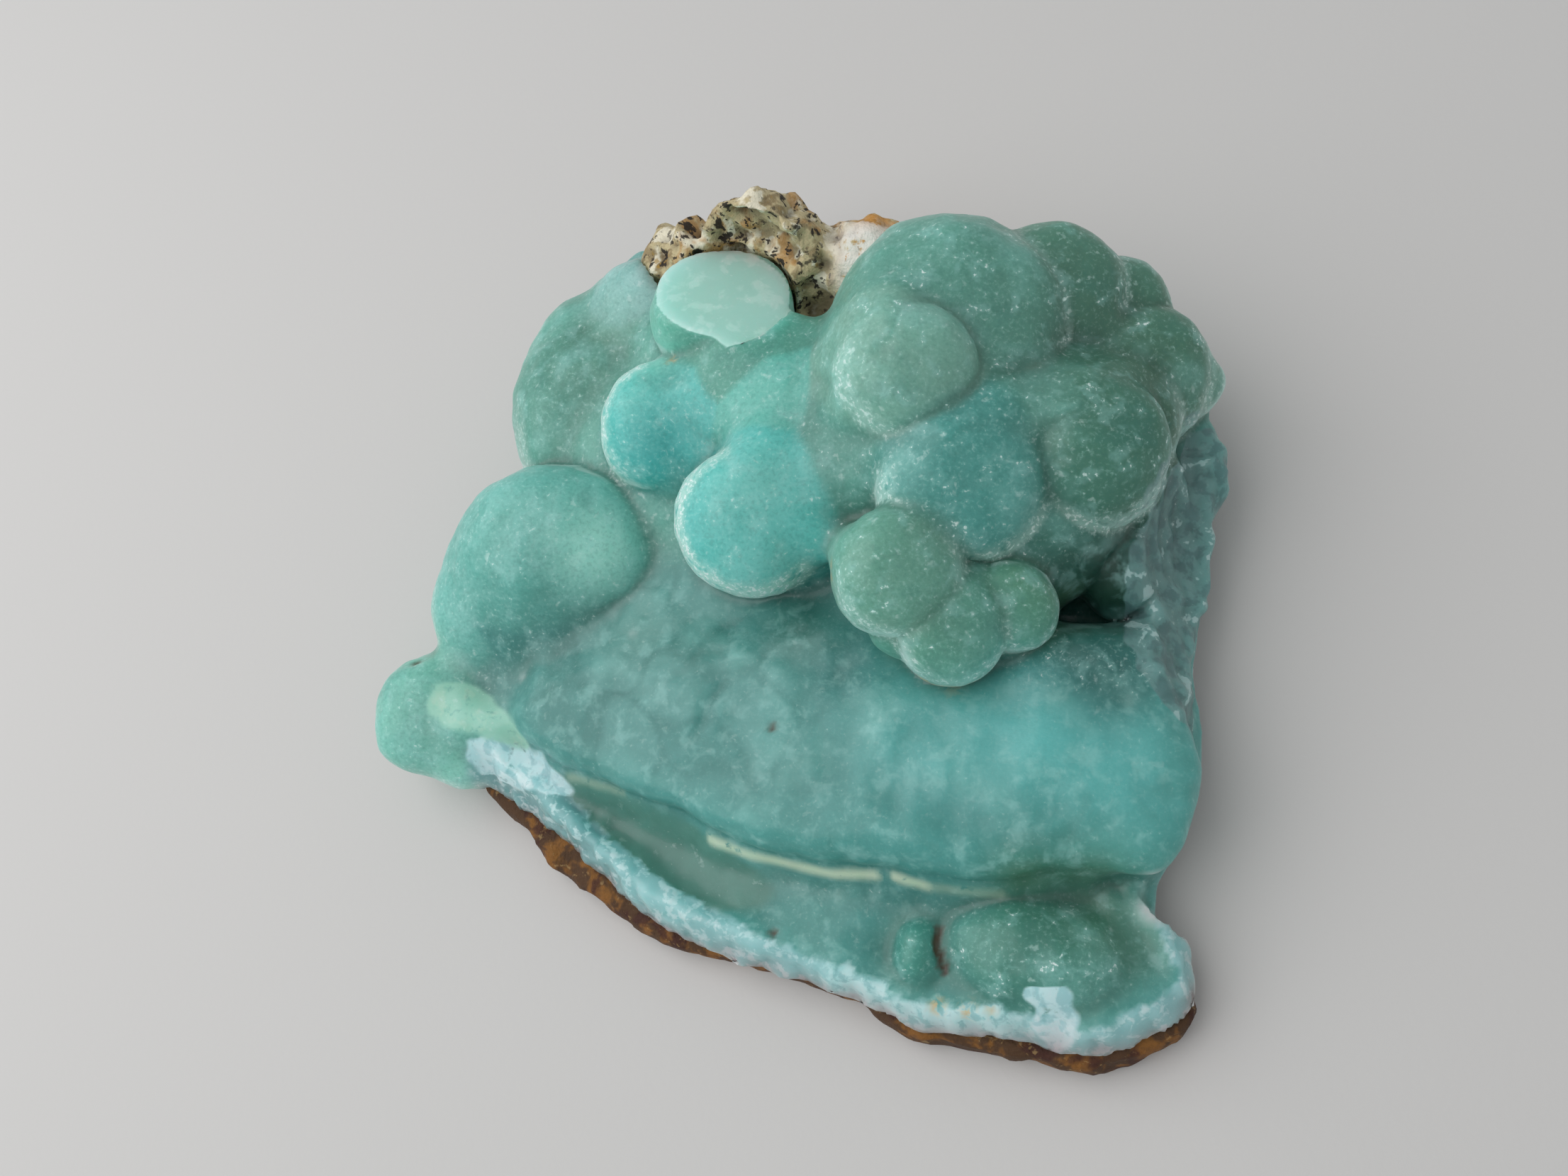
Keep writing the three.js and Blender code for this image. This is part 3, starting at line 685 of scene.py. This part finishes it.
def crust_masks(points, normals, quads, near_edge):
    """The marks that the crust's material reads, one value from 0 to 1 at each vertex."""
    x, y, z = points.T
    plan = points[:, :2]
    side, slab, shelf = rim_side(x, y, z), slab_field(x, y, z), shelf_field(x, y, z)
    broad = fade(x, -1, 5)      # the rim's pale break is broader on the left
    rim_in = side + 0.45 + 0.9 * broad + 0.12 * unevenness(points, 1, 41)
    front = np.maximum(fade(y, -14.5, -13.6), fade(x, -3, 0) * fade(y, -11, -10.5))
    rim = ease(rim_in, -0.1, 0.2) * ease(x, -18, -16.8) * fade(z, 5.4, 6) * front
    face = np.maximum(np.abs(break_plane(x, y, z)), ellipsoid(x, y, z, BREAK_REACH))
    cells, tone = cells_relief(points, size=3.8, seed=1, low=(-22, -16), high=(26, 3))
    cobbled = fade(slab, 0.08, 0.3) * (1 - 0.8 * ease(x, 0, 9))
    cobbled *= fade(y, -1, 3) * ease(y, -13, -11.5)
    calm = np.clip(fade(slab, 0.05, 0.3) + fade(shelf, 0.05, 0.3), 0, 1)
    lean = 1 - normals @ CROWN
    front_side = fade(lean, 0.9, 1.2) * fade(y, 16.5, 19)
    lit = ease(np.linalg.norm(points - PIT, axis=1), 2, 5)
    return {
        # creases and hollows, darkened with painted shade; the creases also take iron stain
        "crease": np.clip(1.2 * hollow(points, normals, quads, rounds=6, depth=0.22), 0, 1),
        "hollow": np.clip(1.6 * hollow(points, normals, quads, rounds=40, depth=1.2), 0, 1),
        # painted light on the lobes' thin edges, away from the back
        "lit_edge": near_edge * np.clip(lean, 0, 1) * front_side,
        # white frost with painted rim light on the lobes' shoulders, and white ridges on the
        # knuckle
        "frost_and_rim_light": np.maximum(frost_and_rim_light_mask(points), near_lines(points, KNUCKLE_RIDGES, 0.1, 0.35)),
        # where the grain, white flecks and painted glints show: fewer on the calm slab and shelf,
        # none in the shaded pit
        "grain": lit * (1 - 0.6 * calm),
        "painted_glints": lit * (1 - calm) * (0.35 + 0.65 * ease(x, 2, 6)),
        "rim": rim,
        "left_rim": rim * fade(x, -9, -3),
        "white_rim": rim * ease(x, 6, 9) * fade(x, 17, 19.5),
        "edge_band": patch(points, EDGE_BAND, low=3.5),
        "white": np.maximum(patch(points, SHELF_PATCH, high=5.2),
                            patch(points, FRACTURE_PATCH, low=4.2)),
        "broken_face": np.clip(0.9 - face, 0, 1),
        "mint": patch(points, MINT_PATCH, low=5.2),
        "cream": np.maximum(near_lines(plan, CREAM_LINES),
                            0.35 * near_lines(plan, FAINT_CREAM_LINES)),
        "trough": patch(points, TROUGH_PATCH, soft=0.35, high=5.6) * (1 - rim),
        "brown": np.maximum(spot_mask(points, BROWN_SPOTS),
                            near_lines(plan, [SHELF_CRACK], 0.06, 0.3) * fade(z, 6, 7)),
        "cobble": cobbled * ease(cells, 0, 0.25) * tone,
        "seam": cobbled * fade(cells, 0, 0.22),
        "ochre": spot_mask(points, OCHRE_SPOTS),
        "crystal": spot_mask(points, WHITE_CRYSTALS),
    }


def crust_relief(points, masks):
    """Height added along the normal in millimetres: unevenness of the lobes, low cobbles with seams
    between them on the slab, slightly rough breaks and the cracks' grooves."""
    calm = 1 - 0.8 * (masks["broken_face"] > 0.75)
    breaks = np.maximum(masks["rim"], ease(masks["edge_band"], 0.3, 0.7))
    relief = calm * (0.07 * unevenness(points, 4.6, 2) + 0.022 * unevenness(points, 1.7, 3))
    relief += calm * 0.008 * unevenness(points, 0.9, 4, 40)
    relief += breaks * (0.07 * unevenness(points, 1.8, 5) + 0.04 * unevenness(points, 0.9, 6, 40))
    cracks = near_lines(points, [SLAB_CRACK, SLAB_SEAM], 0.05, 0.6)
    relief -= 0.02 * masks["seam"] + 0.10 * cracks + 0.2 * masks["brown"]
    return relief + 0.04 * masks["frost_and_rim_light"]


# ---- objects ----
def mesh_object(name, points, quads, material, masks, colours=None):
    """A smooth closed mesh object at the origin from layout points, with its vertex attributes."""
    mesh = bpy.data.meshes.new(name)
    placed = (points - (*MIDDLE, 0)) * MM
    mesh.from_pydata(placed, [], quads.tolist())
    mesh.shade_smooth()
    if colours is not None:
        layer = mesh.color_attributes.new("growth_colour", "FLOAT_COLOR", "POINT")
        layer.data.foreach_set("color", np.c_[colours, np.ones(len(colours))].ravel())
    for label, values in masks.items():
        layer = mesh.attributes.new(label, "FLOAT", "POINT")
        layer.data.foreach_set("value", values.astype(np.float32))
    mesh.materials.append(material)
    made = bpy.data.objects.new(name, mesh)
    bpy.context.scene.collection.objects.link(made)
    return made


def keep_in_box(points, margin=0.02):
    """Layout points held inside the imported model's box."""
    low, high = np.array(CAD_BOX) / MM + (*MIDDLE, 0)
    return np.clip(points, (low[0] + margin, low[1] + margin, 0), high - margin)


# ---- materials ----
def add_node(tree, kind, settings=None, inputs=None):
    """Adds a node to a tree, with its own settings and with values or links on its inputs."""
    made = tree.nodes.new(kind)
    for name, value in (settings or {}).items():
        setattr(made, name, value)
    for key, value in (inputs or {}).items():
        if isinstance(value, bpy.types.NodeSocket):
            tree.links.new(value, made.inputs[key])
        else:
            made.inputs[key].default_value = value
    return made


def new_material(name):
    """A node material without nodes, its tree and its Object coordinates."""
    material = bpy.data.materials.new(name)
    material.use_nodes = True
    material.node_tree.nodes.clear()
    tree = material.node_tree
    return material, tree, add_node(tree, "ShaderNodeTexCoord").outputs["Object"]


def per_mm(size):
    """The scale of a pattern in Object coordinates whose features are this many millimetres."""
    return 1 / (size * MM)


def paint(tree, place, colour, layers):
    """Lays colours over each other. A layer has its colour, its greatest share and the attribute
    that says where it lies, or None. For a crisp edge the attribute comes with the two values
    between which it goes from none to full. Then come any number of clouds, which are multiplied,
    each with the size of its features in millimetres and the two noise values between which it
    goes from none to full. Clouds of one size share their noise."""
    noises, marks = {}, {}
    for text, share, mark, *clouds in layers:
        factors = []
        if mark:
            name, *edge = mark if isinstance(mark, tuple) else (mark,)
            if name not in marks:
                marks[name] = add_node(tree, "ShaderNodeAttribute", {"attribute_name": name})
            factors.append((marks[name], *edge))
        for size, *fade in clouds:
            if size not in noises:
                noises[size] = add_node(tree, "ShaderNodeTexNoise", {}, {
                    "Vector": place, "Scale": per_mm(size), "Detail": 3.0, "Roughness": 0.6,
                    "Distortion": 0.3})
            factors.append((noises[size], *fade))
        for source, *ends in factors:
            factor = source.outputs["Fac"]
            if ends:
                factor = add_node(
                    tree, "ShaderNodeMapRange", {"interpolation_type": "SMOOTHSTEP"},
                    {"Value": factor, "From Min": ends[0], "From Max": ends[1]}).outputs["Result"]
            share = add_node(tree, "ShaderNodeMath", {"operation": "MULTIPLY"},
                             {0: factor, 1: share}).outputs[0]
        colour = add_node(tree, "ShaderNodeMix", {"data_type": "RGBA"},
                          {0: share, 6: colour, 7: linear_rgba(text)}).outputs[2]
    return colour


def roughen(tree, place, grains):
    """Bumps of several sizes laid over each other, each with its size, height and strength."""
    normal = {}
    for size, height, strength in grains:
        noise = add_node(tree, "ShaderNodeTexNoise", {}, {
            "Vector": place, "Scale": per_mm(size), "Detail": 3.0, "Roughness": 0.65})
        bump = add_node(tree, "ShaderNodeBump", {}, {
            "Height": noise.outputs["Fac"], "Distance": height * MM, "Strength": strength,
            **normal})
        normal = {"Normal": bump.outputs["Normal"]}
    return normal


def hemimorphite_material(settings):
    """Hemimorphite, grown as botryoidal crusts of fine radiating crystals. The body is milky and
    translucent, so light goes in and comes out softly coloured, the skin is satin with a fine
    crystal grain that glints, and fresh breaks are paler and bluer."""
    material, tree, place = new_material("Hemimorphite, botryoidal")
    own = add_node(tree, "ShaderNodeAttribute", {"attribute_name": "growth_colour"})
    colour = paint(tree, place, own.outputs["Color"], [
        ("#93CEC6", 0.28, None, (4.5, 0.50, 0.70)),             # milky clouds
        ("#3A7F76", 0.30, None, (4.5, 0.46, 0.30)),             # clearer depths
        ("#A6D8D2", 0.30, None, (1.3, 0.50, 0.70)),             # mottling
        # the real crystal grain is too fine to show, so it is drawn coarser, dark and light
        ("#2F6F68", 0.18, "grain", (0.25, 0.50, 0.34)),
        ("#B9E3DC", 0.18, "grain", (0.25, 0.52, 0.68)),
        # painted shade in hollows and creases
        ("#245447", 0.35, "hollow"),
        ("#2A5F50", 0.32, "crease"),
        ("#5B5A2C", 0.40, "crease", (4.5, 0.58, 0.70)),         # iron stain in creases
        ("#A0D8D2", 0.20, "cobble"),                            # paler cobbles, darker seams
        ("#3A7A74", 0.16, "seam"),
        # the trough under the slab's front edge: a greyer green of its own, partly painted shade
        # under that edge
        ("#5A8E80", 0.85, "trough"),
        ("#97C5C6", 0.88, "rim", (1.3, 0.16, 0.42)),
        ("#56898A", 0.50, "left_rim"),                          # painted shade: the rim darker at its left end, where the light falls most
        ("#C4E2E2", 0.65, "rim", (0.7, 0.50, 0.62)),
        ("#B9E4E2", 0.95, "white_rim", (0.7, 0.36, 0.52)),
        ("#6E9592", 0.85, ("edge_band", 0.46, 0.54)),           # break along the right edge
        ("#4D6F70", 0.60, ("edge_band", 0.46, 0.54), (1.3, 0.52, 0.42)),
        ("#B5D2D0", 0.65, ("edge_band", 0.46, 0.54), (1.3, 0.60, 0.64)),
        ("#CCEEF0", 0.94, ("white", 0.42, 0.58), (0.7, 0.22, 0.46)),
        ("#8DC2C6", 0.60, ("white", 0.42, 0.58), (1.3, 0.50, 0.40)),
        ("#B2E2D6", 0.94, ("broken_face", 0.72, 0.80)),
        ("#CBEEE4", 0.60, ("broken_face", 0.72, 0.80), (1.3, 0.50, 0.62)),
        ("#A3D6C3", 0.85, ("mint", 0.40, 0.60), (0.7, 0.24, 0.46)),
        ("#C3DAC6", 0.35, ("mint", 0.50, 0.80), (1.3, 0.50, 0.62)),
        ("#CBE0C6", 0.95, "cream", (0.7, 0.24, 0.42)),
        ("#BFE0DA", 0.65, ("lit_edge", 0.40, 0.72), (1.3, 0.26, 0.50)),   # painted light: pale lobe edges, lit through their thin rims
        ("#CFE6E1", 0.35, "grain", (0.7, 0.62, 0.74)),          # white flecks in the body
        ("#BCE2D8", 0.85, "frost_and_rim_light", (0.7, 0.26, 0.50)),          # frosty shoulders, with painted rim light
        # painted glints in the frost
        ("#F0FAF8", 0.90, "frost_and_rim_light", (0.25, 0.52, 0.58), (0.7, 0.42, 0.52)),
        # painted glints over the lobes
        ("#F4FCFA", 0.62, "painted_glints", (0.25, 0.61, 0.66), (1.3, 0.54, 0.64)),
        ("#E4F4F0", 0.40, "grain", (0.25, 0.68, 0.72)),         # painted glints on crystal ends
        ("#F4FAF8", 0.90, "crystal"),
        ("#5A3A1C", 0.85, "brown"),
        ("#CDB37E", 0.85, "ochre", (0.7, 0.42, 0.55)),
    ])
    shader = add_node(tree, "ShaderNodeBsdfPrincipled", {"subsurface_method": "RANDOM_WALK"}, {
        "Base Color": colour, "Roughness": 0.36, "IOR": 1.62,
        "Subsurface Weight": settings.translucency, "Subsurface Radius": (0.6, 1.0, 0.95),
        "Subsurface Scale": settings.light_depth, "Specular IOR Level": 0.32,
        "Sheen Weight": 0.06, "Sheen Roughness": 0.25, "Sheen Tint": linear_rgba("#CDEBE4"),
        "Coat Weight": 0.10, "Coat Roughness": 0.15,
        **roughen(tree, place, [(0.22, 0.035, 0.5), (1.1, 0.07, 0.4)])})
    add_node(tree, "ShaderNodeOutputMaterial", {}, {"Surface": shader.outputs["BSDF"]})
    return material


def rock_material():
    """Limonite-stained host rock, broken and weathered: dull, gritty, brown to rust-red where iron
    has soaked it, and buff with black manganese specks on the lump at the back."""
    material, tree, place = new_material("Limonite host rock, broken")
    colour = paint(tree, place, linear_rgba("#4E331A"), [
        ("#8A5A20", 0.85, None, (1.6, 0.50, 0.64)),
        ("#3E1A10", 0.85, None, (2.4, 0.52, 0.62)),
        ("#A98A5A", 0.55, None, (0.5, 0.60, 0.70)),
        ("#C6B78F", 1.00, "buff"),
        ("#8A7654", 0.80, "buff", (1.2, 0.48, 0.60)),
        ("#F0E9D2", 0.90, "buff", (1.6, 0.52, 0.60)),
        ("#B98A4E", 0.70, "buff", (2.4, 0.54, 0.64)),
        ("#A67F22", 0.70, "buff", (1.2, 0.62, 0.70)),
        ("#4A4034", 0.70, "buff", (0.5, 0.60, 0.68)),
        ("#1E1915", 0.95, "buff", (1.3, 0.60, 0.63)),
        ("#231D18", 0.92, "buff", (0.5, 0.57, 0.60), (2.4, 0.40, 0.52)),
        ("#C98E3C", 0.90, "ochre", (1.2, 0.35, 0.50)),
        # white chalky patches on the lump's right part, spread wide to lighten it where it lies in
        # shade: real patches and painted light
        ("#EDEAE2", 0.90, "chalk_and_painted_light", (0.9, 0.36, 0.46)),
        # painted shade in the rock's creases
        ("#2A1A10", 0.60, "crease"),
    ])
    shader = add_node(tree, "ShaderNodeBsdfPrincipled", {}, {
        "Base Color": colour, "Roughness": 0.8, "IOR": 1.5,
        **roughen(tree, place, [(0.3, 0.15, 0.8), (1.1, 0.3, 0.6)])})
    add_node(tree, "ShaderNodeOutputMaterial", {}, {"Surface": shader.outputs["BSDF"]})
    return material


def paper_material(settings):
    """White card: matt, even, very slightly warm, with a faint fibre grain."""
    material, tree, place = new_material("White card, matt")
    shader = add_node(tree, "ShaderNodeBsdfPrincipled", {}, {
        "Base Color": (*settings.floor_colour, 1.0), "Roughness": 0.85,
        **roughen(tree, place, [(0.5, 0.04, 0.3)])})
    add_node(tree, "ShaderNodeOutputMaterial", {}, {"Surface": shader.outputs["BSDF"]})
    return material


# ---- settings ----
LENGTH = {"precision": 5, "unit": "LENGTH"}


class SpecimenCrustSettings(bpy.types.PropertyGroup):
    """Fineness and translucency of the hemimorphite crust."""
    step: bpy.props.FloatProperty(
        name="Mesh step", description="Spacing of the grid that the crust's surface is drawn from",
        default=0.275 * MM, min=0.15 * MM, max=1.0 * MM, **LENGTH)
    translucency: bpy.props.FloatProperty(
        name="Translucency", description="Share of the light that goes into the mineral",
        default=1.0, min=0.0, max=1.0, subtype="FACTOR")
    light_depth: bpy.props.FloatProperty(
        name="Light depth", description="How far light spreads inside the mineral",
        default=4.5 * MM, min=0.0, max=10.0 * MM, **LENGTH)


class SpecimenRockSettings(bpy.types.PropertyGroup):
    """Fineness and roughness of the host rock."""
    step: bpy.props.FloatProperty(
        name="Mesh step", description="Spacing of the grid that the rock's surface is drawn from",
        default=0.33 * MM, min=0.2 * MM, max=1.0 * MM, **LENGTH)
    crag: bpy.props.FloatProperty(
        name="Crag height", description="Height of the rock's broken relief",
        default=0.35 * MM, min=0.0, max=1.0 * MM, **LENGTH)


class SpecimenStageSettings(bpy.types.PropertyGroup):
    """Floor, light and camera of the plain studio."""
    floor_colour: bpy.props.FloatVectorProperty(
        name="Floor colour", description="Colour of the white card floor", subtype="COLOR",
        default=linear_colour("#CFCDCB"), min=0.0, max=1.0)
    floor_width: bpy.props.FloatProperty(
        name="Floor width", description="Side of the square floor", default=1.2, unit="LENGTH")
    key_power: bpy.props.FloatProperty(
        name="Window light", description="Power of the large soft light", default=0.56,
        min=0.0, unit="POWER")
    fill: bpy.props.FloatProperty(
        name="Room light", description="Strength of the even light from all round",
        default=0.50, min=0.0)


# ---- operators ----
class SPECIMEN_OT_crust(bpy.types.Operator):
    """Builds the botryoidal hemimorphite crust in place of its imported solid"""
    bl_idname = "specimen.crust"
    bl_label = "Hemimorphite crust"

    def execute(self, context):
        settings = context.scene.specimen_crust
        points, quads = skin_of(crust_field, CRUST_HEIGHTS, settings.step / MM)
        normals = normals_of(points, quads)
        colours, near_edge = growth_colours(points)
        masks = crust_masks(points, normals, quads, near_edge)
        points = keep_in_box(points + crust_relief(points, masks)[:, None] * normals)
        made = mesh_object("hemimorphite_botryoidal_crust", points, quads,
                           hemimorphite_material(settings), masks, colours)
        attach(made, "root")
        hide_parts("hemimorphite_crust")
        return {"FINISHED"}


class SPECIMEN_OT_rock(bpy.types.Operator):
    """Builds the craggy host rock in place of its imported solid"""
    bl_idname = "specimen.rock"
    bl_label = "Host rock"

    def execute(self, context):
        settings = context.scene.specimen_rock
        points, quads = skin_of(rock_field, ROCK_HEIGHTS, settings.step / MM)
        normals = normals_of(points, quads)
        lift = ease(points[:, 2], 0.1, 1.2) * (0.35 + 0.65 * ease(points[:, 2], 2.4, 6))
        ridged = 1 - np.abs(unevenness(points, 3.8, 20)) - 0.4
        crag = ridged + 0.4 * unevenness(points, 1.8, 21) + 0.12 * unevenness(points, 0.8, 22, 40)
        hidden = crust_field(*points.T) < CRAG_CLEARANCE
        height = settings.crag / MM * crag * lift
        height = np.where(hidden, np.minimum(height, 0), height)
        points = keep_in_box(points + height[:, None] * normals)
        normals = normals_of(points, quads)
        x, y, z = points.T
        back = ease(y, 14, 17) * ease(z + 0.8 * unevenness(points, 3, 23), 2.5, 6)
        masks = {
            "buff": back,
            "ochre": back * ease(x, 1, 4),
            "chalk_and_painted_light": back * ease(x, 1, 3) * fade(y, 21, 23),
            "crease": np.clip(hollow(points, normals, quads, rounds=6, depth=0.2), 0, 1),
        }
        made = mesh_object("limonite_host_rock", points, quads, rock_material(), masks)
        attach(made, "root")
        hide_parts("limonite_matrix")
        return {"FINISHED"}


class SPECIMEN_OT_stage(bpy.types.Operator):
    """Builds the plain pale floor, the soft light and the camera"""
    bl_idname = "specimen.stage"
    bl_label = "Stage"

    def execute(self, context):
        settings = context.scene.specimen_stage
        half = settings.floor_width / 2
        mesh = bpy.data.meshes.new("card_floor")
        mesh.from_pydata([(-half, -half, 0), (half, -half, 0), (half, half, 0), (-half, half, 0)],
                         [], [(0, 1, 2, 3)])
        mesh.materials.append(paper_material(settings))
        floor = bpy.data.objects.new("card_floor", mesh)
        context.scene.collection.objects.link(floor)
        self.light(context, settings.key_power)
        self.world(context, settings)
        self.camera(context)
        context.scene.view_settings.view_transform = "Standard"
        return {"FINISHED"}

    @staticmethod
    def light(context, power):
        """A square soft light that looks at the specimen."""
        lamp = bpy.data.lights.new("window_light", "AREA")
        lamp.size = LAMP_SIZE
        lamp.energy = power
        made = bpy.data.objects.new("window_light", lamp)
        made.location = LAMP_PLACE
        made.rotation_euler = (-Vector(LAMP_PLACE)).to_track_quat("-Z", "Y").to_euler()
        context.scene.collection.objects.link(made)

    @staticmethod
    def world(context, settings):
        world = bpy.data.worlds.new("studio")
        world.use_nodes = True
        background = world.node_tree.nodes["Background"]
        background.inputs["Color"].default_value = linear_rgba("#F1F4F6")
        background.inputs["Strength"].default_value = settings.fill
        context.scene.world = world

    @staticmethod
    def camera(context):
        """The camera looks steeply down from the front right, rolled a little."""
        lens = bpy.data.cameras.new("camera")
        lens.sensor_width = 36.0
        lens.lens = CAMERA_LENS
        lens.clip_start = 1.0 * MM
        made = bpy.data.objects.new("camera", lens)
        right, up = Vector(CAMERA_RIGHT).normalized(), Vector(CAMERA_UP).normalized()
        turn = Matrix((right, up, right.cross(up))).transposed().to_4x4()
        made.matrix_world = Matrix.Translation(Vector(CAMERA_PLACE) * MM) @ turn
        context.scene.collection.objects.link(made)
        context.scene.camera = made


class SPECIMEN_PT_sidebar(bpy.types.Panel):
    """Settings and build buttons of the specimen"""
    bl_label = "Hemimorphite Specimen"
    bl_space_type = "VIEW_3D"
    bl_region_type = "UI"
    bl_category = "Specimen"

    def draw(self, context):
        for operator in ("specimen.crust", "specimen.rock", "specimen.stage"):
            box = self.layout.box()
            settings = getattr(context.scene, operator.replace(".", "_"))
            for name in settings.__annotations__:
                box.prop(settings, name)
            box.operator(operator)


SETTINGS = {
    "specimen_crust": SpecimenCrustSettings,
    "specimen_rock": SpecimenRockSettings,
    "specimen_stage": SpecimenStageSettings,
}
CLASSES = (*SETTINGS.values(), SPECIMEN_OT_crust, SPECIMEN_OT_rock, SPECIMEN_OT_stage,
           SPECIMEN_PT_sidebar)


def register():
    for each in CLASSES:
        bpy.utils.register_class(each)
    for name, group in SETTINGS.items():
        setattr(bpy.types.Scene, name, bpy.props.PointerProperty(type=group))


def unregister():
    for name in SETTINGS:
        delattr(bpy.types.Scene, name)
    for each in reversed(CLASSES):
        bpy.utils.unregister_class(each)


def main():
    register()
    bpy.ops.specimen.stage()
    bpy.ops.specimen.rock()
    bpy.ops.specimen.crust()


if __name__ == "__main__":
    main()
